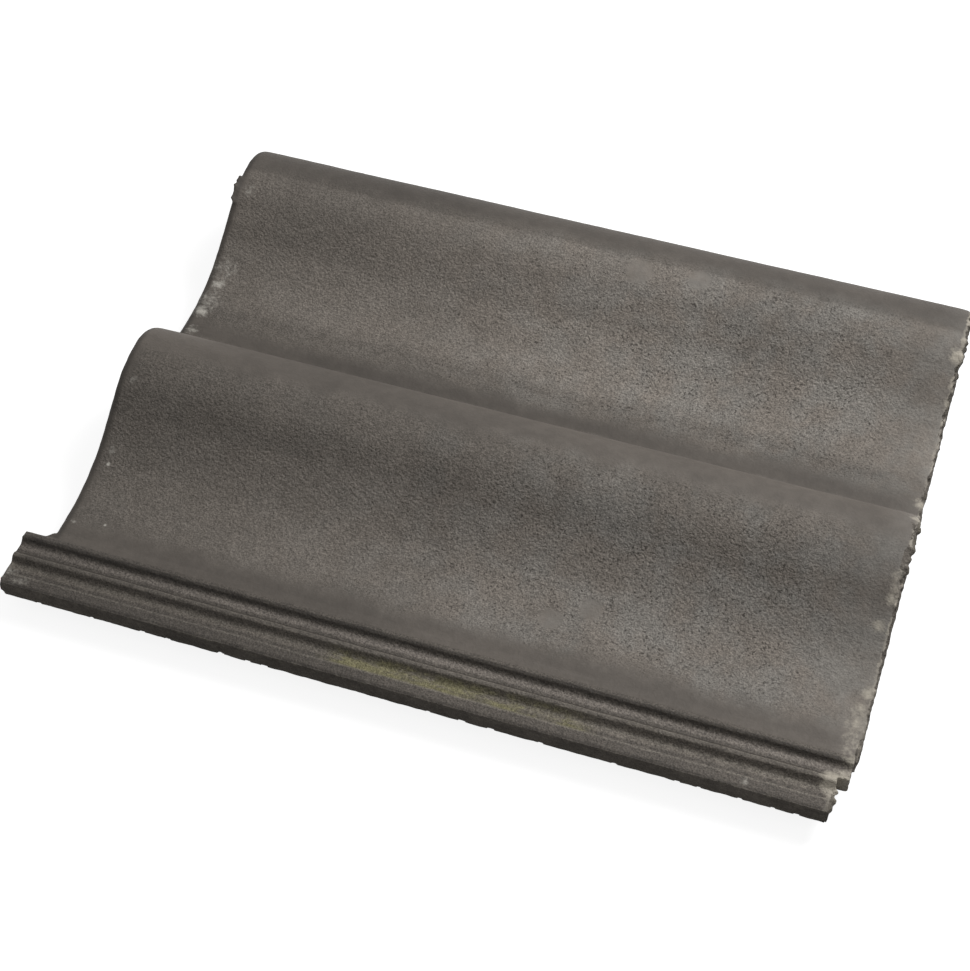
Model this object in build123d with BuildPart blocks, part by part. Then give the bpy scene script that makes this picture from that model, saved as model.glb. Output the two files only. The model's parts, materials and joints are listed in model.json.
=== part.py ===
"""Double-wave concrete roof tile with a ribbed side lock, cast in one piece.

The tile lies face up on its hanging nibs and its foot rib. +X runs down the slope from the head to the
foot, +Y from the ribbed underlap to the cover roll, and +Z is up. The origin is at the centre of the
footprint, on the surface that the tile lies on. All sizes are in millimetres.
"""

import os
from math import acos, atan, atan2, cos, degrees, hypot, radians, sin, tan

from build123d import *

# Overall sizes
LENGTH = 420.0  # from the underlap's head to the foot of the waves
COVER_WIDTH = 300.0  # the step from one tile of a course to the next
THICKNESS = 12.8  # of the concrete, square to its faces

# Waves
WAVE_COUNT = 2
WAVE_HEIGHT = 36.2  # from a pan to a crest
PAN_FLAT = 12.0  # level strip along the bottom of each pan
APRON_WIDTH = 3.5  # level strip between the underlap and the first pan
FLANK_STRAIGHT = 19.3  # straight part of the long slope in front of a crest
CREST_FRONT_RADIUS = 48.0
CREST_BACK_RADIUS = 28.0
DROP_RUN = 46.0  # from a crest to the pan behind it
DROP_STRAIGHT = 10.6  # straight part of the steep slope behind a crest

# Ends of the waves
HEAD_SETBACK = 13.5  # from the underlap's head to the head of the waves
HEAD_ROUND = 4.0
FOOT_ROUND = 6.0

# Ribbed underlap, from its outer edge inwards, with heights above the tile's underside
OUTER_FOOT_SETBACK = 9.0  # from the foot of the waves to that of the tread and the outer rib
INNER_FOOT_SETBACK = 3.0  # from the foot of the waves to that of the channel and the inner rib
TREAD_WIDTH = 13.4
TREAD_HEIGHT = 9.9
TREAD_FALL = 0.6
RIB_FACE_WIDTH = 2.1
RIB_TOP_WIDTH = 2.0
RIB_BACK_WIDTH = 1.5
OUTER_RIB_HEIGHT = 12.6
CHANNEL_WIDTH = 5.5
CHANNEL_HEIGHT = 11.0
INNER_RIB_HEIGHT = 13.7
INNER_RIB_BACK_WIDTH = 2.9

# Lip and tongue of the cover roll, which lie over the next tile's underlap
LOCK_CLEARANCE = 1.0
LIP_THICKNESS = 3.0
LIP_SETBACK = 1.5  # from the lip to the inner edge of the underlap that it covers
TONGUE_WIDTH = 3.2

# Hanging nibs and foot rib on the underside
NIB_DEPTH = 9.0
NIB_LENGTH = 22.0
NIB_WIDTH = 34.0
NIB_INSET = 4.0  # from the head of the waves
NIB_ROUND = 3.0
FOOT_RIB_WIDTH = 12.0
FOOT_RIB_INSET = 12.0  # from the foot of the waves
ROOTING = 4.0  # how far the nibs and the foot rib reach into the concrete

# Underlap, worked out across the tile
UNDERLAP_WIDTH = (
    TREAD_WIDTH
    + RIB_FACE_WIDTH
    + RIB_TOP_WIDTH
    + RIB_BACK_WIDTH
    + CHANNEL_WIDTH
    + RIB_FACE_WIDTH
    + RIB_TOP_WIDTH
    + INNER_RIB_BACK_WIDTH
)
WIDTH = COVER_WIDTH + UNDERLAP_WIDTH - LIP_SETBACK
FRONT_Y = -WIDTH / 2
OUTER_RIB_Y = FRONT_Y + TREAD_WIDTH
CHANNEL_Y = OUTER_RIB_Y + RIB_FACE_WIDTH + RIB_TOP_WIDTH + RIB_BACK_WIDTH
INNER_RIB_Y = CHANNEL_Y + CHANNEL_WIDTH
WAVE_FRONT_Y = FRONT_Y + UNDERLAP_WIDTH

# Levels
UNDERSIDE_Z = NIB_DEPTH
PAN_Z = UNDERSIDE_Z + THICKNESS
CREST_Z = PAN_Z + WAVE_HEIGHT

# Places along the tile
HEAD_X = -LENGTH / 2
FOOT_X = LENGTH / 2
WAVE_HEAD_X = HEAD_X + HEAD_SETBACK
NIB_X = WAVE_HEAD_X + NIB_INSET + NIB_LENGTH / 2
FOOT_RIB_X = FOOT_X - FOOT_RIB_INSET - FOOT_RIB_WIDTH

# Waves, worked out across the tile: each is a level strip, a long flank, a crest and a steep drop
PITCH = COVER_WIDTH / WAVE_COUNT
FLANK_RUN = PITCH - PAN_FLAT - DROP_RUN
PAN_STARTS = [WAVE_FRONT_Y + APRON_WIDTH + PITCH * count for count in range(WAVE_COUNT)]

# Lip and tongue of the cover roll, one cover width behind the underlap's own ribs
LIP_Y = WIDTH / 2
LIP_Z = UNDERSIDE_Z + INNER_RIB_HEIGHT + LOCK_CLEARANCE
TONGUE_Y = CHANNEL_Y + CHANNEL_WIDTH / 2 + COVER_WIDTH
TONGUE_Z = UNDERSIDE_Z + CHANNEL_HEIGHT + LOCK_CLEARANCE


def slope_of(run, rise, straight):
    """Return the steepest angle in degrees of two arcs joined by a straight, and the sum of their radii."""
    angle = 2 * atan(rise / (run + straight))
    return degrees(angle), (run - straight * cos(angle)) / sin(angle)


FLANK_ANGLE, FLANK_RADII = slope_of(FLANK_RUN, WAVE_HEIGHT, FLANK_STRAIGHT)
DROP_ANGLE, DROP_RADII = slope_of(DROP_RUN, WAVE_HEIGHT, DROP_STRAIGHT)
PAN_RADIUS = FLANK_RADII - CREST_FRONT_RADIUS
TOE_RADIUS = DROP_RADII - CREST_BACK_RADIUS

# Slope of the cover roll, which leaves the last crest's arc and meets the top of the lip
LIP_RUN = LIP_Y - (PAN_STARTS[-1] + PAN_FLAT + FLANK_RUN)
LIP_RISE = LIP_Z + LIP_THICKNESS - (CREST_Z - CREST_BACK_RADIUS)
COVER_ANGLE = 90 - degrees(atan2(LIP_RISE, LIP_RUN) + acos(CREST_BACK_RADIUS / hypot(LIP_RUN, LIP_RISE)))


def add_arc(centre, radius, start_angle, end_angle):
    """Add an arc to the outline being drawn and return its first and last points."""
    points = [
        (centre[0] + radius * cos(radians(angle)), centre[1] + radius * sin(radians(angle)))
        for angle in (start_angle, (start_angle + end_angle) / 2, end_angle)
    ]
    ThreePointArc(*points)
    return points[0], points[-1]


def add_waves(depth, lift=0.0):
    """Add the waves' outline at a depth under their face, moved up by a lift.

    Returns its first point, at the underlap, and its last, where the cover roll's straight slope starts.
    """
    first = (WAVE_FRONT_Y, PAN_Z - depth + lift)
    last = first
    for pan_start in PAN_STARTS:
        pan_y = pan_start + PAN_FLAT
        crest_y = pan_y + FLANK_RUN
        is_cover = pan_start == PAN_STARTS[-1]
        drop_angle = COVER_ANGLE if is_cover else DROP_ANGLE

        pan_centre = (pan_y, PAN_Z + PAN_RADIUS + lift)
        pan_first, pan_last = add_arc(pan_centre, PAN_RADIUS + depth, -90, FLANK_ANGLE - 90)
        Line(last, pan_first)

        front_centre = (crest_y, CREST_Z - CREST_FRONT_RADIUS + lift)
        crest_first, _ = add_arc(front_centre, CREST_FRONT_RADIUS - depth, 90 + FLANK_ANGLE, 90)
        Line(pan_last, crest_first)

        back_centre = (crest_y, CREST_Z - CREST_BACK_RADIUS + lift)
        _, last = add_arc(back_centre, CREST_BACK_RADIUS - depth, 90, 90 - drop_angle)

        if not is_cover:
            toe_centre = (crest_y + DROP_RUN, PAN_Z + TOE_RADIUS + lift)
            toe_first, toe_last = add_arc(toe_centre, TOE_RADIUS + depth, 270 - drop_angle, 270)
            Line(last, toe_first)
            last = toe_last
    return first, last


with BuildPart() as roof_tile:
    # Waves and cover roll
    with BuildSketch(Plane.YZ.offset(WAVE_HEAD_X)):
        with BuildLine():
            face_first, face_last = add_waves(0)
            under_first, under_last = add_waves(THICKNESS)
            lip_inner_y = under_last[0] + (under_last[1] - LIP_Z) / tan(radians(COVER_ANGLE))
            Polyline(
                face_last,
                (LIP_Y, LIP_Z + LIP_THICKNESS),
                (LIP_Y, LIP_Z),
                (TONGUE_Y + TONGUE_WIDTH / 2, LIP_Z),
                (TONGUE_Y + TONGUE_WIDTH / 2, TONGUE_Z),
                (TONGUE_Y - TONGUE_WIDTH / 2, TONGUE_Z),
                (TONGUE_Y - TONGUE_WIDTH / 2, LIP_Z),
                (lip_inner_y, LIP_Z),
                under_last,
            )
            Line(face_first, under_first)
        make_face()
    extrude(amount=FOOT_X - WAVE_HEAD_X)

    # Rounded head and foot of the waves' face
    for end, radius in ((0, HEAD_ROUND), (-1, FOOT_ROUND)):
        face_edges = roof_tile.faces().filter_by(lambda face: face.normal_at().Z > 0).edges()
        end_edges = roof_tile.faces().sort_by(Axis.X)[end].edges()
        fillet(face_edges & end_edges, radius)

    # Tread and outer rib of the underlap
    with BuildSketch(Plane.YZ.offset(HEAD_X)):
        with BuildLine():
            Polyline(
                (FRONT_Y, UNDERSIDE_Z),
                (FRONT_Y, UNDERSIDE_Z + TREAD_HEIGHT),
                (OUTER_RIB_Y, UNDERSIDE_Z + TREAD_HEIGHT - TREAD_FALL),
                (OUTER_RIB_Y + RIB_FACE_WIDTH, UNDERSIDE_Z + OUTER_RIB_HEIGHT),
                (CHANNEL_Y - RIB_BACK_WIDTH, UNDERSIDE_Z + OUTER_RIB_HEIGHT),
                (CHANNEL_Y, UNDERSIDE_Z + CHANNEL_HEIGHT),
                (CHANNEL_Y, UNDERSIDE_Z),
                close=True,
            )
        make_face()
    extrude(amount=LENGTH - OUTER_FOOT_SETBACK)

    # Channel and inner rib of the underlap, which reach nearer to the foot
    with BuildSketch(Plane.YZ.offset(HEAD_X)):
        with BuildLine():
            Polyline(
                (CHANNEL_Y, UNDERSIDE_Z),
                (CHANNEL_Y, UNDERSIDE_Z + CHANNEL_HEIGHT),
                (INNER_RIB_Y, UNDERSIDE_Z + CHANNEL_HEIGHT),
                (INNER_RIB_Y + RIB_FACE_WIDTH, UNDERSIDE_Z + INNER_RIB_HEIGHT),
                (WAVE_FRONT_Y - INNER_RIB_BACK_WIDTH, UNDERSIDE_Z + INNER_RIB_HEIGHT),
                (WAVE_FRONT_Y, PAN_Z),
                (WAVE_FRONT_Y, UNDERSIDE_Z),
                close=True,
            )
        make_face()
    extrude(amount=LENGTH - INNER_FOOT_SETBACK)

    # Foot rib, which follows the underside of the waves
    with BuildSketch(Plane.YZ.offset(FOOT_RIB_X)):
        with BuildLine():
            root_first, root_last = add_waves(THICKNESS, ROOTING)
            rib_first, rib_last = add_waves(THICKNESS, -NIB_DEPTH)
            Line(root_first, rib_first)
            Line(root_last, rib_last)
        make_face()
    extrude(amount=FOOT_RIB_WIDTH)

    # Hanging nibs, one under each pan
    with BuildSketch(Plane.XY):
        with Locations(*[(NIB_X, pan_start + PAN_FLAT / 2) for pan_start in PAN_STARTS]):
            RectangleRounded(NIB_LENGTH, NIB_WIDTH, NIB_ROUND)
    extrude(amount=NIB_DEPTH + ROOTING)

os.makedirs("parts", exist_ok=True)
roof_tile.part.label = "roof_tile"
export_step(roof_tile.part, "parts/roof_tile.step")
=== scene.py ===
"""Concrete roof tile: its worn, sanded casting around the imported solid, under soft studio light.

Every size is in metres, in the tile's own frame: +X runs from the head to the foot, +Y from the ribbed
underlap to the cover roll, and +Z is up from the surface that the tile lies on.
"""

from __future__ import annotations

import json
import logging
import math
import random
from dataclasses import dataclass
from enum import Enum
from functools import partial, reduce
from typing import Sequence

import bpy
import numpy as np
from bpy.types import Material, Node, NodeTree, Object
from bpy.types import NodeSocket as Socket
from mathutils import Matrix, Vector

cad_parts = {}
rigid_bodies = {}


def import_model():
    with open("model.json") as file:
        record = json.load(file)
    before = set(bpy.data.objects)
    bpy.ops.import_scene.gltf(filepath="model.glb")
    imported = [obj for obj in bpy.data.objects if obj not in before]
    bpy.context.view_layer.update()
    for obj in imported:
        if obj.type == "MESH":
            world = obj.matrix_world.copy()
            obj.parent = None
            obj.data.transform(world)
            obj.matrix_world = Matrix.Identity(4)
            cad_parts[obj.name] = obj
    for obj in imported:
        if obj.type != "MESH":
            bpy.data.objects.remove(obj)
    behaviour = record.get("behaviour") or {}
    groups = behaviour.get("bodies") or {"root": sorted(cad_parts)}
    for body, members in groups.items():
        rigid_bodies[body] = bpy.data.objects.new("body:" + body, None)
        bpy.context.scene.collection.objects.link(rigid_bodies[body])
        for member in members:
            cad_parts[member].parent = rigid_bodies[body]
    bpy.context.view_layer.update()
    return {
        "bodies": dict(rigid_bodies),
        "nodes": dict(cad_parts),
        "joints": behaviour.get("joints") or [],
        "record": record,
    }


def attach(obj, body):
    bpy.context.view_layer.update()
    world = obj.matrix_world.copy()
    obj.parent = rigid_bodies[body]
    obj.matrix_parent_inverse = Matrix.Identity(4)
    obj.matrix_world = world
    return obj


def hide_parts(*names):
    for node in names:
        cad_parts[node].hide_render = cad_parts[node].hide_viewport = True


log = logging.getLogger("roof_tile")

MM = 0.001
WEIGHT_STEPS = 20
WHITE = (1.0, 1.0, 1.0)

Colour = tuple[float, float, float]
Lengths = tuple[float, ...]


def mm(*lengths: float) -> Lengths:
    """Return lengths given in millimetres in the frame's metres."""
    return tuple(length * MM for length in lengths)


class Region(Enum):
    """Stretches of the casting's surface that are worked on by themselves."""

    SOFT = "soft"
    WAVES = "waves"
    RIBS = "ribs"
    TREAD_BACK = "tread_back"
    FOOT = "foot"
    HEAD = "head"
    FRONT = "front"
    UNDERSIDE = "underside"


class Attribute(Enum):
    """Measures of the finished mesh that its materials read."""

    PROUD = "proud"
    HOLLOW = "hollow"


class Pattern(Enum):
    """Ways in which a surface is uneven: Blender's names for the textures."""

    CLOUDS = "CLOUDS"
    CELLS = "VORONOI"
    PLAIN = "NONE"


class Slot(Enum):
    """Order of the materials on the tile."""

    FACE = 0
    RAW = 1


def select_only(*pieces: Object) -> None:
    """Deselect everything, then select some pieces.

    Args:
        pieces: the pieces, the first of which becomes active.
    """
    bpy.ops.object.select_all(action="DESELECT")
    for piece in pieces:
        piece.select_set(True)
    bpy.context.view_layer.objects.active = pieces[0]


def apply_modifier(piece: Object, kind: str, name: str, **settings: object) -> None:
    """Put a modifier on a piece and apply it.

    Args:
        piece: the object to change.
        kind: Blender's name for the type of modifier.
        name: what the modifier does here.
        settings: values for the modifier's own properties.
    """
    select_only(piece)
    modifier = piece.modifiers.new(name, kind)
    for key, value in settings.items():
        setattr(modifier, key, value)
    bpy.ops.object.modifier_apply(modifier=modifier.name)


def ramp(values: np.ndarray, start: float, end: float) -> np.ndarray:
    """Rise smoothly from 0 to 1.

    Args:
        values: where the rise is read.
        start: value at which it is 0.
        end: value at which it is 1, which may be below start.

    Returns:
        One share for each value.
    """
    share = np.clip((values - start) / (end - start), 0.0, 1.0)
    return share * share * (3.0 - 2.0 * share)


def read_rows(items: bpy.types.bpy_prop_collection, key: str) -> np.ndarray:
    """Read a vector from each item of a mesh.

    Args:
        items: the mesh's vertices or polygons.
        key: Blender's name for the vector.

    Returns:
        One row of three coordinates for each item.
    """
    rows = np.empty(len(items) * 3, np.float32)
    items.foreach_get(key, rows)
    return rows.reshape(-1, 3)


def paint_group(piece: Object, region: Region, weights: np.ndarray) -> None:
    """Store a region's weights as a vertex group.

    Args:
        piece: the object that gets the group.
        region: the region that names it.
        weights: one share from 0 to 1 for each vertex.
    """
    group = piece.vertex_groups.new(name=region.value)
    steps = np.rint(weights * WEIGHT_STEPS).astype(int)
    for step in range(1, WEIGHT_STEPS + 1):
        members = np.nonzero(steps == step)[0]
        if len(members):
            group.add(members.tolist(), step / WEIGHT_STEPS, "REPLACE")


@dataclass(frozen=True)
class Mark:
    """A round mark on the surface: its middle, its radius and how strong it is."""

    place: Lengths
    radius: float
    strength: float = 1.0


def mark_rows(*rows: Sequence[float]) -> tuple[Mark, ...]:
    """Return marks from rows of a place and a radius in millimetres and, if it isn't 1, a strength."""
    return tuple(Mark(mm(*row[:3]), row[3] * MM, *row[4:]) for row in rows)


@dataclass(frozen=True)
class Stripe:
    """A line of colour along the underlap: its middle, how far it reaches to each side, and its strength."""

    middle: float
    reach: float
    strength: float
    colour: Colour


@dataclass(frozen=True)
class Stretch:
    """A lighter or darker stretch across the tile: its ends, how soft they are, and its tone."""

    low: float
    high: float
    soft: float
    tone: float


# Pale patches of the foot, from the cover roll to the outer rib
RUBBED_FOOT = mark_rows(
    (206.8, 103.9, 53.3, 9),
    (207.8, 90.6, 44, 5),
    (206.8, 82.9, 39.2, 5, 0.8),
    (207, 27, 21.4, 8, 0.8),
    (206.4, -13, 53, 8, 0.7),
    (204.6, -48.7, 52.3, 7, 0.6),
    (204.4, -53.5, 49, 5, 0.7),
    (204.2, -58.5, 45.8, 5, 0.9),
    (201.6, -69.3, 37.9, 6, 0.8),
    (204.6, -98.5, 23.4, 6, 0.9),
    (202.8, -108, 22.2, 9, 0.6),
    (202.8, -116, 21.9, 10, 0.6),
    (203.2, -123, 21.8, 11, 0.55),
    (203.4, -129.5, 21.8, 11, 0.5),
    (205.2, -137, 21.8, 9, 0.6),
    (204.2, -146.2, 16, 10, 1.5),
    (200.4, -149.8, 20.4, 11, 1.5),
)


class Wiring:
    """Adds nodes to one node tree and joins them."""

    def __init__(self, tree: NodeTree) -> None:
        """Keep the tree and clear it."""
        self.tree = tree
        self.tree.nodes.clear()

    def add(self, kind: str, inputs: dict | None = None, **settings: object) -> Node:
        """Add a node.

        Args:
            kind: Blender's name for the type of node.
            inputs: values or sockets for its inputs, by name or index.
            settings: values for the node's own properties.

        Returns:
            The new node.
        """
        node = self.tree.nodes.new(kind)
        for key, value in settings.items():
            setattr(node, key, value)
        for key, value in (inputs or {}).items():
            self.feed(node.inputs[key], value)
        return node

    def feed(self, socket: Socket, value: object) -> None:
        """Link a socket into an input, or set the input's value.

        Args:
            socket: the input.
            value: another node's output, a value, or a colour of three parts.
        """
        if isinstance(value, Socket):
            self.tree.links.new(value, socket)
        elif socket.type == "RGBA" and len(value) == 3:
            socket.default_value = (*value, 1.0)
        else:
            socket.default_value = value

    def maths(self, operation: str, first: object, second: object = 0.0) -> Socket:
        """Return the result of a Math node on two values."""
        return self.add("ShaderNodeMath", {0: first, 1: second}, operation=operation).outputs[0]

    def product(self, *factors: object) -> Socket:
        """Return the product of several values."""
        return reduce(partial(self.maths, "MULTIPLY"), factors)

    def rise(self, value: object, start: float, end: float, low: float = 0.0, high: float = 1.0) -> Socket:
        """Return a smooth step of a value from low at start to high at end."""
        reading = {"Value": value, "From Min": start, "From Max": end, "To Min": low, "To Max": high}
        return self.add("ShaderNodeMapRange", reading, interpolation_type="SMOOTHSTEP").outputs["Result"]

    def band(self, value: object, low: float, high: float, soft: float) -> Socket:
        """Return 1 between two values, falling to 0 over a soft stretch outside each."""
        return self.product(self.rise(value, low - soft, low), self.rise(value, high + soft, high))

    def noise(
        self, place: object, size: float, detail: float = 2.0, roughness: float = 0.5, twist: float = 0.0
    ) -> Socket:
        """Return a noise value whose bumps are about a given size across."""
        reading = {"Vector": place, "Scale": 1.0 / size, "Detail": detail, "Roughness": roughness}
        return self.add("ShaderNodeTexNoise", {**reading, "Distortion": twist}).outputs["Fac"]

    def wander(self, place: object, size: float, reach: float) -> Socket:
        """Return a length that wanders to both sides of 0, by about a quarter of a reach."""
        return self.product(self.maths("SUBTRACT", self.noise(place, size, 3.0, 0.6), 0.5), reach)

    def stretch(self, place: object, scale: Sequence[float]) -> Socket:
        """Return a place with its coordinates scaled."""
        return self.add("ShaderNodeMapping", {"Vector": place, "Scale": scale}).outputs["Vector"]

    def axes(self, place: object) -> tuple[Socket, ...]:
        """Return the three coordinates of a place."""
        return tuple(self.add("ShaderNodeSeparateXYZ", {0: place}).outputs)

    def tone(self, colour: object, factor: object) -> Socket:
        """Return a colour made lighter or darker by a factor."""
        return self.add("ShaderNodeVectorMath", {0: colour, "Scale": factor}, operation="SCALE").outputs[0]

    def read(self, attribute: Attribute) -> Socket:
        """Return one of the mesh's own measures."""
        return self.add("ShaderNodeAttribute", attribute_name=attribute.value).outputs["Fac"]

    def spots(self, place: object, marks: Sequence[Mark]) -> Socket:
        """Return a mask of round marks with soft edges.

        Args:
            place: where the mask is read.
            marks: the marks.

        Returns:
            The strongest mark's share at the place.
        """
        mask = None
        for mark in marks:
            away = self.add("ShaderNodeVectorMath", {0: place, 1: mark.place}, operation="DISTANCE")
            share = self.rise(away.outputs["Value"], mark.radius, 0.0, 0.0, mark.strength)
            mask = share if mask is None else self.maths("MAXIMUM", mask, share)
        return mask

    def patches(self, place: object, marks: Sequence[Mark]) -> Socket:
        """Return a mask of marks with ragged edges.

        Args:
            place: where the mask is read.
            marks: the marks, each showing to about half its radius.

        Returns:
            A share from 0 to 1.
        """
        soft = self.spots(place, marks)
        ragged = self.maths("ADD", soft, self.wander(place, 2.4 * MM, 1.3))
        return self.product(self.rise(ragged, 0.15, 1.0), self.rise(soft, 0.0, 0.3))

    def mix(self, share: object, first: object, second: object) -> Socket:
        """Return a mix of two colours."""
        return self.add("ShaderNodeMix", {"Factor": share, 6: first, 7: second}, data_type="RGBA").outputs[2]

    def group(self, tree: NodeTree, inputs: dict) -> bpy.types.bpy_prop_collection:
        """Place a node group, feed its inputs and return its outputs."""
        return self.add("ShaderNodeGroup", inputs, node_tree=tree).outputs


class GroupSheet(Wiring):
    """A shader node group with named inputs and outputs."""

    def __init__(self, name: str, inputs: dict[str, str], outputs: Sequence[str]) -> None:
        """Make the group's tree and its sockets.

        Args:
            name: the group's name.
            inputs: socket types by name.
            outputs: names of sockets for values.
        """
        tree = bpy.data.node_groups.new(name, "ShaderNodeTree")
        super().__init__(tree)
        for direction, sockets in (("INPUT", inputs), ("OUTPUT", dict.fromkeys(outputs, "Float"))):
            for socket_name, kind in sockets.items():
                tree.interface.new_socket(socket_name, in_out=direction, socket_type=f"NodeSocket{kind}")
        self.inputs = self.add("NodeGroupInput").outputs
        self.outputs = self.add("NodeGroupOutput").inputs


class Coat(Wiring):
    """The nodes of one of the tile's materials, and the place on the tile that they are read at."""

    def __init__(self, name: str) -> None:
        """Make the material.

        Args:
            name: the material's name.
        """
        self.material = bpy.data.materials.new(name)
        self.material.use_nodes = True
        super().__init__(self.material.node_tree)
        self.place = self.add("ShaderNodeTexCoord").outputs["Object"]
        self.along, self.across, _ = self.axes(self.place)

    def speckle(self, colour: object, grain: object, contrast: object) -> Socket:
        """Return a colour made lighter and darker by its grain."""
        change = self.product(self.maths("SUBTRACT", grain, 0.5), contrast)
        return self.tone(colour, self.maths("ADD", change, 1.0))

    def cover(self, colour: object, layers: Sequence[tuple[object, object]]) -> Socket:
        """Lay colours over one another.

        Args:
            colour: the ground.
            layers: a mask and a colour for each layer, the lowest first.

        Returns:
            The colour that shows.
        """
        for mask, tint in layers:
            colour = self.mix(mask, colour, tint)
        return colour

    def surface(self, relief: dict, looks: dict) -> Material:
        """End the material in a shader with a relief.

        Args:
            relief: inputs of the bump.
            looks: inputs of the shader.

        Returns:
            The finished material.
        """
        bump = self.add("ShaderNodeBump", relief)
        shader = self.add("ShaderNodeBsdfPrincipled", {**looks, "Normal": bump.outputs["Normal"]})
        self.add("ShaderNodeOutputMaterial", {"Surface": shader.outputs[0]})
        return self.material


def sand_grain_group() -> NodeTree:
    """Build the leathery relief and the dark pits of sanded concrete.

    Returns:
        A group that turns a place, a share of sand and one of pitting into a height, a grain tone and a mask
        of pits.
    """
    inputs = {"Place": "Vector", "Sand": "Float", "Pitting": "Float"}
    sheet = GroupSheet("sand_grain", inputs, ("Height", "Grain", "Pits"))
    place, sand, pitting = (sheet.inputs[name] for name in inputs)
    skin = sheet.rise(sheet.noise(place, 1.5 * MM, 1.5, 0.55, 0.3), 0.26, 0.74)
    specks = sheet.rise(sheet.noise(place, 0.8 * MM, 1.0), 0.25, 0.75)
    holes = sheet.noise(place, 1.35 * MM, 1.0, 0.5)
    clusters = sheet.product(sheet.noise(place, 12 * MM, 3.0, 0.6), 0.36)
    drive = sheet.maths("ADD", sheet.maths("ADD", holes, clusters), sheet.product(pitting, 0.1))
    pits = sheet.product(sheet.rise(drive, 0.85, 1.04), sand)
    sanded = sheet.product(skin, sheet.rise(sand, 0.0, 1.0, 0.3, 1.0))
    tones = sheet.maths("ADD", sheet.product(skin, 0.3), sheet.product(specks, 0.7))
    sheet.feed(sheet.outputs["Height"], sheet.maths("SUBTRACT", sanded, sheet.product(pits, 0.4)))
    sheet.feed(sheet.outputs["Grain"], tones)
    sheet.feed(sheet.outputs["Pits"], pits)
    return sheet.tree


def mottling_group() -> NodeTree:
    """Build the cloudy light and dark of weathered concrete.

    Returns:
        A group that turns a place into a broad tone, one of patches and a fine one, from 0 to 1.
    """
    sheet = GroupSheet("mottling", {"Place": "Vector"}, ("Broad", "Patches", "Fine"))
    place = sheet.inputs["Place"]
    sheet.feed(sheet.outputs["Broad"], sheet.rise(sheet.noise(place, 70 * MM, 3.0), 0.3, 0.7))
    sheet.feed(sheet.outputs["Patches"], sheet.rise(sheet.noise(place, 21 * MM, 3.0, 0.55), 0.36, 0.66))
    sheet.feed(sheet.outputs["Fine"], sheet.rise(sheet.noise(place, 7 * MM, 4.0, 0.65), 0.3, 0.7))
    return sheet.tree


def worn_foot_group(rubbed: Sequence[Mark]) -> NodeTree:
    """Build the wear of the foot: a pale line along its edge, pale patches and the broken end outside.

    Args:
        rubbed: where the foot is rubbed pale.

    Returns:
        A group that turns a place into masks of the pale line, the pale patches and the broken end.
    """
    sheet = GroupSheet("worn_foot", {"Place": "Vector"}, ("Rim", "Rubbed", "Broken"))
    place = sheet.inputs["Place"]
    along, across, _ = sheet.axes(place)
    shorter = sheet.rise(across, -145.5 * MM, -147.5 * MM, 0.0, 7.4 * MM)
    reach = sheet.maths("ADD", sheet.maths("ADD", along, sheet.wander(place, 5 * MM, 5 * MM)), shorter)
    patchy = sheet.rise(sheet.noise(place, 13 * MM, 3.0, 0.6), 0.42, 0.66, 0.2, 0.75)
    line = sheet.band(reach, 206.4 * MM, 207.2 * MM, 1.2 * MM)
    sheet.feed(sheet.outputs["Rim"], sheet.product(line, patchy))
    sheet.feed(sheet.outputs["Rubbed"], sheet.product(sheet.patches(place, rubbed), 0.85))
    sheet.feed(sheet.outputs["Broken"], sheet.rise(reach, 207.2 * MM, 208.4 * MM))
    return sheet.tree


@dataclass(frozen=True)
class PhotoCamera:
    """The photograph's camera. Angles are in degrees, and aim is the point that it turns about."""

    azimuth: float = 17.782
    elevation: float = 48.499
    roll: float = 0.816
    distance: float = 1061.25 * MM
    aim: Lengths = mm(16.0, -15.0, 39.0)
    slide: Lengths = mm(-25.4, -18.64)
    focal_length: float = 78.485

    def build(self) -> None:
        """Add the camera and make it the scene's own."""
        turn, lift, lean = (math.radians(angle) for angle in (self.azimuth, self.elevation, self.roll))
        back = Vector((math.sin(turn) * math.cos(lift), -math.cos(turn) * math.cos(lift), math.sin(lift)))
        level = Vector((math.cos(turn), math.sin(turn), 0.0))
        upright = back.cross(level)
        right = math.cos(lean) * level + math.sin(lean) * upright
        up = math.cos(lean) * upright - math.sin(lean) * level
        place = Vector(self.aim) + back * self.distance + right * self.slide[0] + up * self.slide[1]
        bpy.ops.object.camera_add()
        camera = bpy.context.object
        camera.name = "photo_camera"
        camera.matrix_world = Matrix.Translation(place) @ Matrix((right, up, back)).transposed().to_4x4()
        camera.data.lens = self.focal_length
        bpy.context.scene.camera = camera


@dataclass(frozen=True)
class SoftBox:
    """A square studio lamp that faces the tile."""

    name: str
    place: Lengths
    side: float
    watts: float

    def build(self) -> None:
        """Add the lamp."""
        facing = Vector(self.place).to_track_quat("Z", "Y").to_euler()
        bpy.ops.object.light_add(type="AREA", location=self.place, rotation=facing)
        lamp = bpy.context.object
        lamp.name = self.name
        lamp.data.size = self.side
        lamp.data.energy = self.watts


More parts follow.
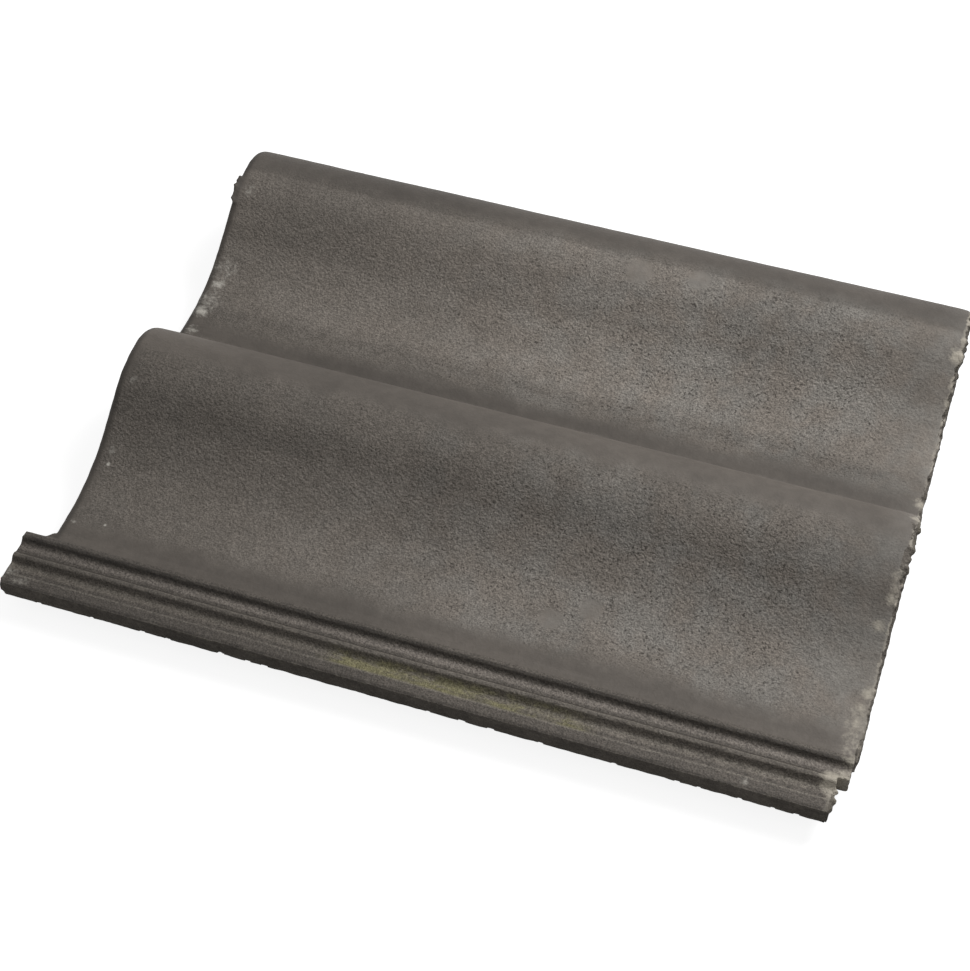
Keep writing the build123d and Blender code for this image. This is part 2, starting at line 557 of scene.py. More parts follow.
@dataclass(frozen=True)
class Surroundings:
    """White studio: a dome of soft light, and a pale floor that keeps the tile's shadow."""

    dome_strength: float = 0.3
    floor_side: float = 6.0
    floor_colour: Colour = (0.38, 0.38, 0.38)
    floor_glow: float = 0.86
    bounce_colour: Colour = (0.12, 0.12, 0.12)

    def by_ray(self, wiring: Wiring, hidden: Node, shown: Node) -> Socket:
        """Choose between two shaders by the kind of ray.

        Args:
            wiring: the nodes of the dome or the floor.
            hidden: shader for the light that falls on the tile.
            shown: shader for rays from the camera, and for those that a gloss or glass sends on.

        Returns:
            The chosen shader.
        """
        rays = wiring.add("ShaderNodeLightPath").outputs
        seen = wiring.maths("MAXIMUM", rays["Is Camera Ray"], rays["Is Glossy Ray"])
        seen = wiring.maths("MAXIMUM", seen, rays["Is Transmission Ray"])
        choice = {0: seen, 1: hidden.outputs[0], 2: shown.outputs[0]}
        return wiring.add("ShaderNodeMixShader", choice).outputs[0]

    def build_dome(self) -> None:
        """Light the scene from all sides, and show a white background."""
        world = bpy.data.worlds.new("white_studio")
        world.use_nodes = True
        bpy.context.scene.world = world
        wiring = Wiring(world.node_tree)
        light = wiring.add("ShaderNodeBackground", {"Color": WHITE, "Strength": self.dome_strength})
        white = wiring.add("ShaderNodeBackground", {"Color": WHITE, "Strength": 1.0})
        wiring.add("ShaderNodeOutputWorld", {"Surface": self.by_ray(wiring, light, white)})

    def floor_material(self) -> Material:
        """Build a floor finish that looks pale and throws little light back up.

        Returns:
            The new material.
        """
        material = bpy.data.materials.new("pale_floor")
        material.use_nodes = True
        wiring = Wiring(material.node_tree)
        pale = wiring.add("ShaderNodeBsdfDiffuse", {"Color": self.floor_colour})
        glow = wiring.add("ShaderNodeEmission", {"Color": WHITE, "Strength": self.floor_glow})
        lit = wiring.add("ShaderNodeAddShader", {0: pale.outputs[0], 1: glow.outputs[0]})
        dull = wiring.add("ShaderNodeBsdfDiffuse", {"Color": self.bounce_colour})
        wiring.add("ShaderNodeOutputMaterial", {"Surface": self.by_ray(wiring, dull, lit)})
        return material

    def build_floor(self) -> None:
        """Add the floor."""
        bpy.ops.mesh.primitive_plane_add(size=self.floor_side, location=(0.0, 0.0, -0.2 * MM))
        floor = bpy.context.object
        floor.name = "studio_floor"
        floor.data.materials.append(self.floor_material())


@dataclass(frozen=True)
class ConcreteGroups:
    """The node groups that the tile's materials share."""

    grain: NodeTree
    mottling: NodeTree
    worn_foot: NodeTree


@dataclass(frozen=True)
class FaceFinish:
    """Weathered, sanded concrete of the tile's face and underlap."""

    smooth_colour: Colour = (0.102, 0.089, 0.077)
    sanded_colour: Colour = (0.182, 0.161, 0.14)
    bleached_colour: Colour = (0.194, 0.182, 0.165)
    tread_colour: Colour = (0.088, 0.077, 0.066)
    tread_back_colour: Colour = (0.15, 0.132, 0.112)
    channel_colour: Colour = (0.165, 0.145, 0.127)
    pit_colour: Colour = (0.045, 0.039, 0.034)
    # Dark colour of dirt and of painted shade in hollows, creases and at the feet of the ribs.
    dirt_and_shade_colour: Colour = (0.022, 0.018, 0.014)
    # Pale colour of wear on proud edges, also used for painted highlights along the underlap.
    wear_and_highlight_colour: Colour = (0.26, 0.235, 0.2)
    broken_colour: Colour = (0.12, 0.107, 0.09)
    rim_colour: Colour = (0.46, 0.42, 0.35)
    lime_colour: Colour = (0.72, 0.69, 0.62)
    stain_colour: Colour = (0.2, 0.184, 0.095)
    smooth_roughness: float = 0.66
    sanded_roughness: float = 0.86
    specular: float = 0.25
    grain_depth: float = 0.27 * MM
    wave_start: float = -130 * MM
    wave_pitch: float = 150 * MM
    # Lines along the underlap: the dark ones are painted shade, partly dirt, along the front edge, at the
    # feet of the ribs and in the crease behind the outer rib; the pale ones at -158.2, -152.4 and -147.3 mm
    # are painted light on the tread's step, the back of the tread and the outer rib's top.
    dirt_shade_and_highlight_stripes: tuple[Stripe, ...] = (
        Stripe(*mm(-165.0, 2.6), 0.75, dirt_and_shade_colour),
        Stripe(*mm(-158.2, 0.9), 0.3, wear_and_highlight_colour),
        Stripe(*mm(-152.4, 1.0), 0.45, wear_and_highlight_colour),
        Stripe(*mm(-150.4, 1.2), 0.5, dirt_and_shade_colour),
        Stripe(*mm(-147.3, 0.8), 0.25, wear_and_highlight_colour),
        Stripe(*mm(-146.1, 0.9), 0.55, dirt_and_shade_colour),
        Stripe(*mm(-138.1, 2.1), 0.9, dirt_and_shade_colour),
    )
    # Tone factors across the waves: those of the upper flank of wave 1 (-56 to -37 mm) and of the stretch
    # just behind crest 1 (22 to 38 mm) are painted shade, and those over pan 2 and flank 2 (57 to 92 mm) are
    # painted light.
    tone_light_and_shade_stretches: tuple[Stretch, ...] = (
        Stretch(*mm(-133, -130, 2), 1.08),
        Stretch(*mm(-102, -90, 12), 1.08),
        Stretch(*mm(-56, -37, 14), 0.83),
        Stretch(*mm(22, 38, 10), 0.8),
        Stretch(*mm(57, 72, 16), 1.18),
        Stretch(*mm(79, 92, 8), 1.08),
        Stretch(*mm(121, 150, 6), 0.76),
    )
    smears: tuple[Mark, ...] = mark_rows(
        (34, 110, 56, 13),
        (66, 113, 57, 11),
        (69, -94, 25, 10),
        (52, -104, 23, 10),
    )
    lime: tuple[Mark, ...] = mark_rows(
        (-187.7, 104.3, 53.7, 9, 0.4),
        (-188.4, 66, 29, 16, 0.4),
        (-188.2, 56.9, 25.7, 7, 0.7),
        (-190, 46, 23, 16, 0.42),
        (-190.5, 38, 22, 8, 0.8),
        (-189.7, 23.4, 21.8, 7, 0.5),
        (-187.7, -47.7, 52.8, 5, 0.4),
        (-187.7, -79.4, 31.6, 4, 0.5),
        (-187.2, -85.7, 28.5, 2, 0.9),
        (-190.7, -120.7, 21.8, 3, 0.6),
        (-174.6, -117.9, 21.8, 1.6, 0.9),
        (-207, -158, 18.6, 9, 0.4),
        (-200, -161, 18.7, 10, 0.4),
        (161.4, -160.4, 18.7, 4, 0.5),
    )

    def sand_share(self, coat: Coat) -> Socket:
        """Work out how much sand the face carries: the flanks and pans, less on the drawn bands and the head.

        Args:
            coat: the material's nodes.

        Returns:
            A share from 0 to 1.
        """
        wide = coat.wander(coat.place, 30 * MM, 16 * MM)
        drift = coat.maths("ADD", wide, coat.wander(coat.place, 6 * MM, 7 * MM))
        shifted = coat.maths("ADD", coat.across, 2 * self.wave_pitch - self.wave_start)
        step = coat.maths("ADD", coat.maths("MODULO", shifted, self.wave_pitch), drift)
        front = coat.product(coat.rise(step, 3 * MM, 17 * MM), coat.rise(step, 108 * MM, 93 * MM))
        rear = coat.product(coat.rise(step, 122 * MM, 134 * MM), coat.rise(step, 150 * MM, 142 * MM))
        head = coat.rise(coat.maths("ADD", coat.along, drift), -195 * MM, -186 * MM)
        on_waves = coat.rise(coat.across, -132 * MM, -128 * MM)
        return coat.product(coat.maths("MAXIMUM", front, rear), head, on_waves)

    def underlap_tint(self, coat: Coat) -> Socket:
        """Colour the underlap: a dark tread, a paler channel, painted shade, partly dirt, along the front
        edge, at the feet of the ribs and in the crease behind the outer rib, and painted light on the tread's
        step, the back of the tread and the outer rib's top.

        Args:
            coat: the material's nodes.

        Returns:
            The colour.
        """
        across = coat.maths("ADD", coat.across, coat.wander(coat.place, 9 * MM, 1.6 * MM))
        layers = [
            (coat.band(across, -154.2 * MM, -150.5 * MM, 2.2 * MM), self.tread_back_colour),
            (coat.band(across, -143.2 * MM, -141 * MM, 1.3 * MM), self.channel_colour),
        ]
        # Painted shade and painted light along the ribs and creases, laid over the tread.
        for stripe in self.dirt_shade_and_highlight_stripes:
            away = coat.maths("ABSOLUTE", coat.maths("SUBTRACT", across, stripe.middle))
            share = coat.rise(away, stripe.reach, 0.3 * stripe.reach, 0.0, stripe.strength)
            layers.append((share, stripe.colour))
        return coat.cover(self.tread_colour, layers)

    def stain(self, coat: Coat) -> Socket:
        """Work out where the yellow-green stain lies, in blotches along the back of the tread.

        Args:
            coat: the material's nodes.

        Returns:
            A share from 0 to 1.
        """
        blotches = coat.noise(coat.stretch(coat.place, (0.5, 1.0, 1.0)), 7 * MM, 4.0, 0.65)
        reach = coat.band(coat.along, -34 * MM, 78 * MM, 16 * MM)
        width = coat.band(coat.across, -156.4 * MM, -151.6 * MM, 2.6 * MM)
        return coat.product(reach, width, coat.rise(blotches, 0.4, 0.62, 0.12, 0.8))

    def tones(self, coat: Coat) -> Socket:
        """Work out the slow change of tone: paler to the foot and in the pans, with painted shade on the
        upper flank of wave 1, just behind crest 1 and on the rounded head edge, and painted light over pan 2
        and flank 2.

        Args:
            coat: the material's nodes.

        Returns:
            A factor for the colour.
        """
        lengthwise = coat.rise(coat.along, -205 * MM, 60 * MM, 0.84, 1.06)
        # Painted shade on the rounded head edge of the waves.
        painted_head_edge_shade = coat.rise(coat.along, -191.2 * MM, -193.8 * MM, 1.0, 0.6)
        on_underlap = coat.rise(coat.across, -132 * MM, -134 * MM)
        factor = coat.product(lengthwise, coat.maths("MAXIMUM", painted_head_edge_shade, on_underlap))
        # Painted shade and painted light, with plain tone, in stretches across the waves.
        for stretch in self.tone_light_and_shade_stretches:
            share = coat.band(coat.across, stretch.low, stretch.high, stretch.soft)
            factor = coat.product(factor, coat.rise(share, 0.0, 1.0, 1.0, stretch.tone))
        return factor

    def ground(self, coat: Coat, share: Socket, bleaching: Socket) -> Socket:
        """Colour the waves, as they are before dirt and wear.

        Args:
            coat: the material's nodes.
            share: how much sand they carry.
            bleaching: the tone of their patches.

        Returns:
            The colour.
        """
        bleached = coat.product(bleaching, coat.rise(coat.along, -120 * MM, 100 * MM, 0.15, 0.9))
        sanded = coat.mix(bleached, self.sanded_colour, self.bleached_colour)
        smooth = coat.tone(self.smooth_colour, coat.rise(coat.along, -90 * MM, -195 * MM, 1.0, 1.3))
        foot = coat.rise(coat.along, 188 * MM, 204 * MM, 0.0, 0.28)
        return coat.cover(smooth, ((share, sanded), (foot, sanded)))

    def build(self, groups: ConcreteGroups) -> Material:
        """Build the material.

        Args:
            groups: the shared node groups.

        Returns:
            The new material.
        """
        coat = Coat("sanded_concrete")
        place = coat.place
        share = self.sand_share(coat)
        underlap = coat.rise(coat.across, -133 * MM, -135.5 * MM)
        smeared = coat.rise(coat.spots(place, self.smears), 0.2, 0.6, 1.0, 0.1)
        worn = coat.product(share, smeared, coat.rise(coat.along, 150 * MM, 206 * MM, 1.0, 0.35))
        rough = coat.maths("MAXIMUM", worn, underlap)
        open_face = coat.rise(underlap, 0.0, 1.0, 1.0, 0.3)
        pitting = coat.product(coat.rise(coat.along, -170 * MM, 90 * MM), open_face)
        clouds = coat.group(groups.mottling, {"Place": place})
        sand = coat.group(groups.grain, {"Place": place, "Sand": rough, "Pitting": pitting})
        foot = coat.group(groups.worn_foot, {"Place": place})
        broad = coat.rise(clouds["Broad"], 0.0, 1.0, 0.93, 1.06)
        fine = coat.rise(clouds["Fine"], 0.0, 1.0, 0.93, 1.07)

        ground = self.ground(coat, share, clouds["Patches"])
        colour = coat.mix(underlap, ground, self.underlap_tint(coat))
        colour = coat.tone(colour, coat.product(broad, fine, self.tones(coat)))
        colour = coat.mix(self.stain(coat), colour, self.stain_colour)
        contrast = coat.product(rough, coat.rise(underlap, 0.0, 1.0, 0.85, 1.1))
        colour = coat.speckle(colour, sand["Grain"], contrast)
        layers = (
            (coat.product(sand["Pits"], 0.75), self.pit_colour),
            # Painted shade, partly dirt, in the mesh's hollows.
            (coat.product(coat.read(Attribute.HOLLOW), 0.5), self.dirt_and_shade_colour),
            (coat.product(coat.read(Attribute.PROUD), clouds["Fine"], 0.4), self.wear_and_highlight_colour),
            (foot["Broken"], coat.tone(self.broken_colour, fine)),
            (coat.maths("MAXIMUM", foot["Rubbed"], foot["Rim"]), self.rim_colour),
            (coat.product(coat.patches(place, self.lime), 0.6), self.lime_colour),
        )
        looks = {
            "Base Color": coat.cover(colour, layers),
            "Roughness": coat.rise(share, 0.0, 1.0, self.smooth_roughness, self.sanded_roughness),
            "Specular IOR Level": self.specular,
        }
        return coat.surface({"Height": sand["Height"], "Distance": self.grain_depth}, looks)


@dataclass(frozen=True)
class RawFinish:
    """Bare concrete of the underside, the ends and the outer edge, as the mould and the knife left it."""

    base_colour: Colour = (0.125, 0.111, 0.096)
    end_colour: Colour = (0.125, 0.112, 0.092)
    deep_colour: Colour = (0.03, 0.026, 0.021)
    wear_and_highlight_colour: Colour = (0.24, 0.218, 0.18)
    rim_colour: Colour = (0.46, 0.42, 0.35)
    roughness: float = 0.88
    specular: float = 0.2
    grain_strength: float = 0.9
    grain_depth: float = 0.5 * MM

    def build(self, groups: ConcreteGroups) -> Material:
        """Build the material.

        Args:
            groups: the shared node groups.

        Returns:
            The new material.
        """
        coat = Coat("raw_concrete")
        place = coat.place
        clouds = coat.group(groups.mottling, {"Place": place})
        sand = coat.group(groups.grain, {"Place": place, "Sand": 0.7, "Pitting": 0.2})
        foot = coat.group(groups.worn_foot, {"Place": place})
        drawn = coat.noise(coat.stretch(place, (0.05, 1.0, 1.0)), 3.0 * MM, 3.0, 0.6)
        flakes = coat.rise(coat.noise(place, 4.5 * MM, 3.0, 0.6), 0.5, 0.66)
        broad = coat.rise(clouds["Broad"], 0.0, 1.0, 0.85, 1.12)
        fine = coat.rise(clouds["Fine"], 0.0, 1.0, 0.82, 1.15)
        lines = coat.rise(drawn, 0.3, 0.7, 0.9, 1.08)

        colour = coat.mix(foot["Broken"], self.base_colour, self.end_colour)
        colour = coat.tone(colour, coat.product(broad, fine, lines))
        colour = coat.speckle(colour, sand["Grain"], 0.4)
        layers = (
            (coat.product(sand["Pits"], 0.6), self.deep_colour),
            # Painted shade, partly dirt, in the mesh's hollows.
            (coat.product(coat.read(Attribute.HOLLOW), 0.2), self.deep_colour),
            (coat.product(coat.read(Attribute.PROUD), flakes, 0.6), self.wear_and_highlight_colour),
            (foot["Rubbed"], self.rim_colour),
        )
        looks = {
            "Base Color": coat.cover(colour, layers),
            "Roughness": self.roughness,
            "Specular IOR Level": self.specular,
        }
        height = coat.maths("ADD", sand["Height"], coat.product(drawn, 0.3))
        relief = {"Height": height, "Strength": self.grain_strength, "Distance": self.grain_depth}
        return coat.surface(relief, looks)


@dataclass(frozen=True)
class Pebbles:
    """A seeded heap of dented balls, to cut out of the casting or to add to it."""

    name: str
    seed: int
    radii: Lengths
    scatter: float = 0.0
    squash: tuple[float, float, float] = (1.3, 1.0, 0.75)
    dent: float = 0.22
    fuse_size: float = 0.4 * MM

    def build(self, places: Sequence[Sequence[float]]) -> Object:
        """Make the heap as one closed mesh.

        Args:
            places: the middles of the balls, before they are scattered.

        Returns:
            The heap's object.
        """
        chance = random.Random(self.seed)
        balls = []
        for place in places:
            shift = Vector([chance.uniform(-self.scatter, self.scatter) for _ in range(3)])
            bpy.ops.mesh.primitive_ico_sphere_add(
                subdivisions=2,
                radius=chance.uniform(*self.radii),
                location=Vector(place) + shift,
                rotation=[chance.uniform(0.0, math.tau) for _ in range(3)],
                scale=self.squash,
            )
            balls.append(bpy.context.object)
        select_only(*balls)
        bpy.ops.object.join()
        heap = bpy.context.object
        heap.name = self.name
        bpy.ops.object.transform_apply()
        bpy.ops.object.mode_set(mode="EDIT")
        bpy.ops.mesh.select_all(action="SELECT")
        bpy.ops.transform.vertex_random(offset=self.dent * sum(self.radii) / 2, seed=self.seed)
        bpy.ops.object.mode_set(mode="OBJECT")
        apply_modifier(heap, "REMESH", "fuse", mode="VOXEL", voxel_size=self.fuse_size)
        return heap


@dataclass(frozen=True)
class Unevenness:
    """A pattern that sinks one region of the casting, at most by its depth."""

    region: Region
    pattern: Pattern
    size: float
    depth: float
    direction: str = "NORMAL"

    def apply(self, piece: Object) -> None:
        """Sink the region's surface against the direction, the cells of a cellular pattern staying proud.

        Args:
            piece: the object to change, with its regions painted.
        """
        settings = {"strength": -self.depth, "mid_level": 0.0}
        if self.pattern is Pattern.CLOUDS:
            settings = {"strength": self.depth, "mid_level": 1.0}
        if self.pattern is not Pattern.PLAIN:
            label = f"{self.region.value}_{self.pattern.name.lower()}"
            texture = bpy.data.textures.new(label, self.pattern.value)
            texture.noise_scale = self.size
            settings.update(texture=texture, texture_coords="LOCAL")
        apply_modifier(
            piece, "DISPLACE", "sink", vertex_group=self.region.value, direction=self.direction, **settings
        )


@dataclass
class WeatheredTile:
    """The cast tile, with its crumbling foot, chipped edges and worn face."""

    node: str = "roof_tile"
    name: str = "weathered_tile"
    merge_distance: float = 0.01 * MM
    cut_tolerance: float = 0.001 * MM
    rim_spacing: float = 4 * MM
    foot_x: float = 208.9 * MM
    outer_foot_x: float = 201.0 * MM
    outer_part_y: float = -146 * MM
    underlap_y: float = -133.5 * MM
    underlap_head_x: float = -210 * MM
    head_x: float = -196.5 * MM
    voxel: float = 0.75 * MM
    even_triangles: int = 245_000
    triangles: int = 188_000
    least_relief: float = 0.25 * MM
    relief_span: float = 0.7 * MM
    chip_seed: int = 41
    lump_seed: int = 17
    lumpy: tuple[Lengths, ...] = (mm(-47, -13), mm(102, 127))
    broken_crest: Lengths = mm(-46, -18)
    web_size: Lengths = mm(5.4, 5.4, 11.8)
    web_z: float = 15.4 * MM
    smoothing_rounds: int = 50
    unevenness: tuple[Unevenness, ...] = (
        Unevenness(Region.WAVES, Pattern.CLOUDS, *mm(70, 0.3)),
        Unevenness(Region.WAVES, Pattern.CLOUDS, *mm(11, 0.25)),
        Unevenness(Region.RIBS, Pattern.CLOUDS, *mm(16, 0.35)),
        Unevenness(Region.RIBS, Pattern.CLOUDS, *mm(3.5, 0.2)),
        Unevenness(Region.TREAD_BACK, Pattern.PLAIN, *mm(0, 0.35)),
        Unevenness(Region.HEAD, Pattern.CLOUDS, *mm(7, 0.5)),
        Unevenness(Region.FRONT, Pattern.CLOUDS, *mm(6, 0.6)),
        Unevenness(Region.FOOT, Pattern.CLOUDS, *mm(10, 1.4), "X"),
        Unevenness(Region.FOOT, Pattern.CELLS, *mm(3.6, 0.7), "X"),
        Unevenness(Region.UNDERSIDE, Pattern.CLOUDS, *mm(40, 0.6)),
    )

    def copy_casting(self, frame: dict) -> Object:
        """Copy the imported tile's mesh, close it and break off the end of its foot.


        Returns:
            The copy, as a new object at the origin.
        """
        mesh = frame["nodes"][self.node].data.copy()
        mesh.materials.clear()
        piece = bpy.data.objects.new(self.name, mesh)
        bpy.context.scene.collection.objects.link(piece)
        select_only(piece)
        bpy.ops.object.mode_set(mode="EDIT")
        bpy.ops.mesh.select_all(action="SELECT")
        bpy.ops.mesh.remove_doubles(threshold=self.merge_distance)
        bpy.ops.mesh.select_all(action="SELECT")
        bpy.ops.mesh.bisect(
            plane_co=(self.foot_x, 0.0, 0.0),
            plane_no=(1.0, 0.0, 0.0),
            use_fill=True,
            clear_outer=True,
            threshold=self.cut_tolerance,
        )
        bpy.ops.object.mode_set(mode="OBJECT")
        return piece

    def rim_points(self, piece: Object, upper: bool) -> list[Vector]:
        """Find points along the broken foot's outline.

        Args:
            piece: the casting, just broken off.
            upper: True for the outline's face side, False for its underside.

        Returns:
            The points.
        """
        places = read_rows(piece.data.vertices, "co")
        normals = read_rows(piece.data.vertices, "normal")
        points = []
        for edge in piece.data.edges:
            first, last = edge.vertices
            on_rim = all(abs(places[row][0] - self.foot_x) < self.merge_distance for row in (first, last))
            if not on_rim or (normals[first][2] + normals[last][2] > 0.0) != upper:
                continue
            start, end = Vector(places[first]), Vector(places[last])
            count = max(1, round((end - start).length / self.rim_spacing))
            points += [start.lerp(end, (number + 0.5) / count) for number in range(count)]
        return points

    def chip(self, piece: Object, heap: Object) -> None:
        """Cut a heap of pebbles out of the casting."""
        apply_modifier(piece, "BOOLEAN", heap.name, operation="DIFFERENCE", object=heap, solver="MANIFOLD")
        bpy.data.objects.remove(heap)

    def chip_edges(self, piece: Object, upper: list[Vector], lower: list[Vector]) -> None:
        """Chip the foot, the underlap's ends and the front edge.

        Args:
            piece: the casting, just broken off.
            upper: points along the foot's outline on the face.
            lower: points along the foot's outline on the underside.
        """
        chance = random.Random(self.chip_seed)
        uneven = chance.sample(upper, len(upper) * 2 // 5)
        low, high = self.broken_crest
        over = Vector((1.6 * MM, 0.0, 2.0 * MM))
        crest = [point + over for point in upper if low < point.y < high]
        front = []
        along = -208 * MM
        while along < 198 * MM:
            front.append((along, -165.4 * MM, chance.uniform(8.2, 8.7) * MM))
            along += chance.uniform(3.0, 17.0) * MM
        corners = (
            mm(203.4, -165, 7),
            mm(203.8, -157, 7.5),
            mm(210.2, -147, 7.5),
            mm(-212.5, -137, 24),
            mm(-212.4, -166.4, 20),
            mm(-211.5, -166, 8),
        )
        heaps = (
            (Pebbles("upper_chips", 5, mm(0.9, 2.3), 1.2 * MM), uneven),
            (Pebbles("crest_break", 13, mm(3.8, 4.8), 0.8 * MM, (1.2, 1.1, 0.9)), crest),
            (Pebbles("lower_chips", 6, mm(1.2, 2.6), 1.0 * MM), lower[2::3]),
            (Pebbles("front_chips", 7, mm(0.6, 1.2), 0.2 * MM, (2.0, 1.0, 0.8)), front),
            (Pebbles("corner_chips", 8, mm(3.2, 4.0), 0.3 * MM), corners),
            (Pebbles("rib_end_chip", 12, mm(7.2, 7.4)), [mm(204.6, -153, 25.6)]),
        )
        for pebbles, places in heaps:
            self.chip(piece, pebbles.build(places))

    def notch_web(self) -> Object:
        """Make the concrete that fills the inner corner between the underlap's head and the waves' head.

        Returns:
            A turned block, whose one side shows as a slant across the corner.
        """
        bpy.ops.mesh.primitive_cube_add(
            size=1.0,
            location=(self.head_x, self.underlap_y, self.web_z),
            rotation=(0.0, 0.0, math.radians(45)),
            scale=self.web_size,
        )
        web = bpy.context.object
        web.name = "notch_web"
        bpy.ops.object.transform_apply()
        return web

    def add_lumps(self, piece: Object, rim: list[Vector]) -> None:
        """Leave lumps on the foot, crumbs on the tread's end and a burr on the head of the cover roll.

        Args:
            piece: the chipped casting.
            rim: points along the foot's outline.
        """
        heaped = [point for point in rim if any(low < point.y < high for low, high in self.lumpy)]
        single = random.Random(self.lump_seed).sample(rim, len(rim) // 7)
        inset = Vector((-1.7 * MM, 0.0, 0.0))
        crumbs = [
            Vector(mm(200.4, -161.2 + 2.4 * number, 15.4 - 3.2 * (number % 2)))
            for number in range(6)
        ]
        burr = [
            Vector(mm(-195.6, 111, 56)).lerp(Vector(mm(-194.9, 99, 50.6)), share)
            for share in (0.0, 0.15, 0.3, 0.42, 0.55, 0.72, 1.0)
        ]
        stout = (1.1, 1.0, 0.9)
        heaps = (
            (Pebbles("foot_heaps", 9, mm(1.7, 2.7), 0.6 * MM, stout), [point + inset for point in heaped]),
            (Pebbles("foot_lumps", 11, mm(1.3, 2.0), 0.4 * MM, stout), [point + inset for point in single]),
            (Pebbles("tread_crumbs", 14, mm(1.6, 2.6), 0.6 * MM, stout), crumbs),
            (Pebbles("head_burr", 10, mm(1.4, 2.3), 0.5 * MM), burr),
        )
        lumps = [pebbles.build(places) for pebbles, places in heaps]
        select_only(piece, *lumps, self.notch_web())
        bpy.ops.object.join()
        apply_modifier(piece, "REMESH", "fuse", mode="VOXEL", voxel_size=self.voxel)

    def region_weights(self, piece: Object) -> dict[Region, np.ndarray]:
        """Work out how far each vertex belongs to each region.

        Args:
            piece: the fused casting.

        Returns:
            A share from 0 to 1 for each vertex, by region.
        """
        along, across, up = read_rows(piece.data.vertices, "co").T
        facing = read_rows(piece.data.vertices, "normal")[:, 2]
        underlap = ramp(across, self.underlap_y + 1.5 * MM, self.underlap_y - 0.5 * MM)
        foot_line = np.where(across < self.outer_part_y, self.outer_foot_x, self.foot_x)
        foot = ramp(along - foot_line, -4.0 * MM, -1.0 * MM) * ramp(across, -150 * MM, -143 * MM)
        head_line = np.where(across < self.underlap_y, self.underlap_head_x, self.head_x)
        head = ramp(along - head_line, 3.0 * MM, 0.8 * MM)
        front = ramp(across, -162.5 * MM, -164.5 * MM) * ramp(up, 13.5 * MM, 9.5 * MM)
        face = ramp(facing, 0.05, 0.35)
        underside = ramp(facing, -0.05, -0.35) * (1.0 - foot)
        middle = (1.0 - foot) * (1.0 - head)
        waves = face * (1.0 - underlap) * middle
        ribs = face * underlap * middle
        tread_back = ribs * ramp(across, -158.2 * MM, -157.2 * MM) * ramp(across, -151.4 * MM, -152.4 * MM)
        return {
            Region.SOFT: np.clip(waves + 0.6 * underside + 0.05 * foot + 0.15 * head, 0.0, 1.0),
            Region.WAVES: waves,
            Region.RIBS: ribs,
            Region.TREAD_BACK: tread_back,
            Region.FOOT: foot,
            Region.HEAD: head,
            Region.FRONT: front,
            Region.UNDERSIDE: underside,
        }

    def weather(self, piece: Object) -> None:
        """Round the casting's facets off, and make its surface uneven.

        Args:
            piece: the fused casting.
        """
        for region, weights in self.region_weights(piece).items():
            paint_group(piece, region, weights)
        settings = {"iterations": self.smoothing_rounds, "vertex_group": Region.SOFT.value}
        apply_modifier(piece, "SMOOTH", "round_off", factor=0.5, **settings)
        for unevenness in self.unevenness:
            unevenness.apply(piece)

    def thin(self, piece: Object) -> None:
        """Thin the mesh out, most of all on the underside.

        Args:
            piece: the weathered casting.
        """
        apply_modifier(piece, "TRIANGULATE", "triangles")
        ratio = self.even_triangles / len(piece.data.polygons)
        apply_modifier(piece, "DECIMATE", "thin", ratio=ratio)
        ratio = self.triangles / len(piece.data.polygons)
        apply_modifier(piece, "DECIMATE", "thin_under", ratio=ratio, vertex_group=Region.UNDERSIDE.value)
        piece.vertex_groups.clear()

    def measure(self, piece: Object, rounds: int = 10) -> None:
        """Store how hollow and how proud each vertex lies.

        Args:
            piece: the thinned casting.
            rounds: how often the places are averaged for comparison.
        """
        places = read_rows(piece.data.vertices, "co").astype(float)
        ends = np.empty(len(piece.data.edges) * 2, np.int32)
        piece.data.edges.foreach_get("vertices", ends)
        first, last = ends[0::2], ends[1::2]
        total = len(places)
        links = np.bincount(ends, minlength=total)[:, None]
        even = places
        for _ in range(rounds):
            columns = [
                np.bincount(first, even[last, axis], total) + np.bincount(last, even[first, axis], total)
                for axis in range(3)
            ]
            even = np.stack(columns, axis=1) / links
        depth = ((even - places) * read_rows(piece.data.vertices, "normal")).sum(axis=1)
        for attribute, sign in ((Attribute.HOLLOW, 1.0), (Attribute.PROUD, -1.0)):
            share = np.clip((sign * depth - self.least_relief) / self.relief_span, 0.0, 1.0)
            stored = piece.data.attributes.new(attribute.value, "FLOAT", "POINT")
            stored.data.foreach_set("value", share.astype(np.float32))

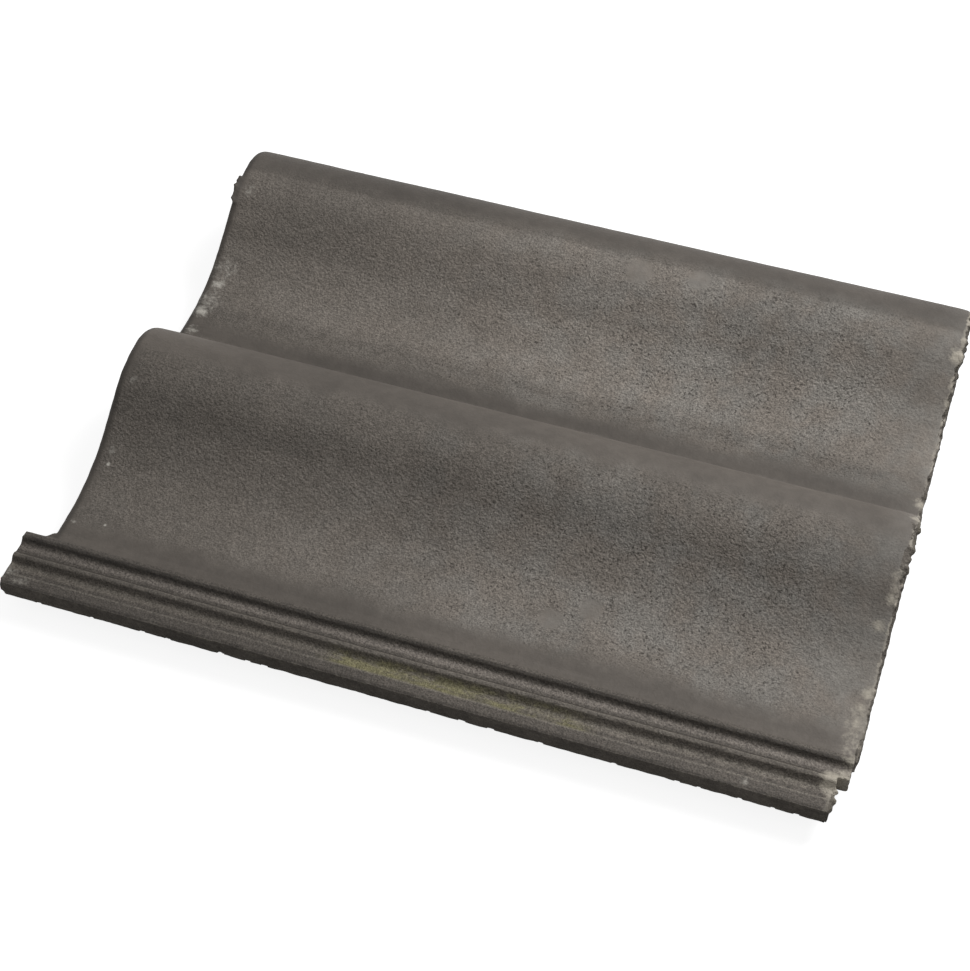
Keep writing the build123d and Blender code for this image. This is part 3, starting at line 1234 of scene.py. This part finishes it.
    def dress(self, piece: Object, face: Material, raw: Material) -> None:
        """Give the faces their materials.

        Args:
            piece: the finished mesh.
            face: material of the weathered face.
            raw: material of the underside, the ends and the outer edge.
        """
        piece.data.materials.clear()
        piece.data.materials.append(face)
        piece.data.materials.append(raw)
        along, across, _ = read_rows(piece.data.polygons, "center").T
        ahead, aside, up = read_rows(piece.data.polygons, "normal").T
        foot_line = np.where(across < self.outer_part_y + 0.8 * MM, self.outer_foot_x, self.foot_x)
        low, high = self.broken_crest
        on_crest = (across > low) & (across < high)
        is_underside = up < -0.25
        is_front = (across < -163 * MM) & (aside < -0.7)
        is_head = (ahead < -0.8) & (along < -194 * MM)
        is_foot = (along > foot_line - 1.0 * MM) | ((ahead > 0.6) & (along > foot_line - 5.0 * MM))
        is_break = on_crest & (along > self.foot_x - 4.5 * MM) & (up < 0.97)
        is_raw = is_underside | is_front | is_head | is_foot | is_break
        slots = np.where(is_raw, Slot.RAW.value, Slot.FACE.value).astype(np.int32)
        piece.data.polygons.foreach_set("material_index", slots)
        select_only(piece)
        bpy.ops.object.shade_smooth()

    def build(self, frame: dict, face: Material, raw: Material) -> None:
        """Make the finished tile.

        Args:
            face: material of the weathered face.
            raw: material of the underside, the ends and the outer edge.
        """
        piece = self.copy_casting(frame)
        upper = self.rim_points(piece, upper=True)
        lower = self.rim_points(piece, upper=False)
        self.chip_edges(piece, upper, lower)
        self.add_lumps(piece, upper + lower)
        self.weather(piece)
        self.thin(piece)
        self.measure(piece)
        self.dress(piece, face, raw)
        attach(piece, "root")
        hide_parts(self.node)
        log.info("%s: %d triangles", piece.name, len(piece.data.polygons))


def main() -> None:
    """Load the frame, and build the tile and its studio."""
    logging.basicConfig(level=logging.INFO, format="%(name)s: %(message)s")
    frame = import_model()
    bpy.context.scene.view_settings.view_transform = "Standard"
    PhotoCamera().build()
    surroundings = Surroundings()
    surroundings.build_dome()
    surroundings.build_floor()
    SoftBox("key_softbox", place=(0.5, 0.5, 0.95), side=0.6, watts=11.7).build()
    groups = ConcreteGroups(sand_grain_group(), mottling_group(), worn_foot_group(RUBBED_FOOT))
    WeatheredTile().build(frame, FaceFinish().build(groups), RawFinish().build(groups))


if __name__ == "__main__":
    main()
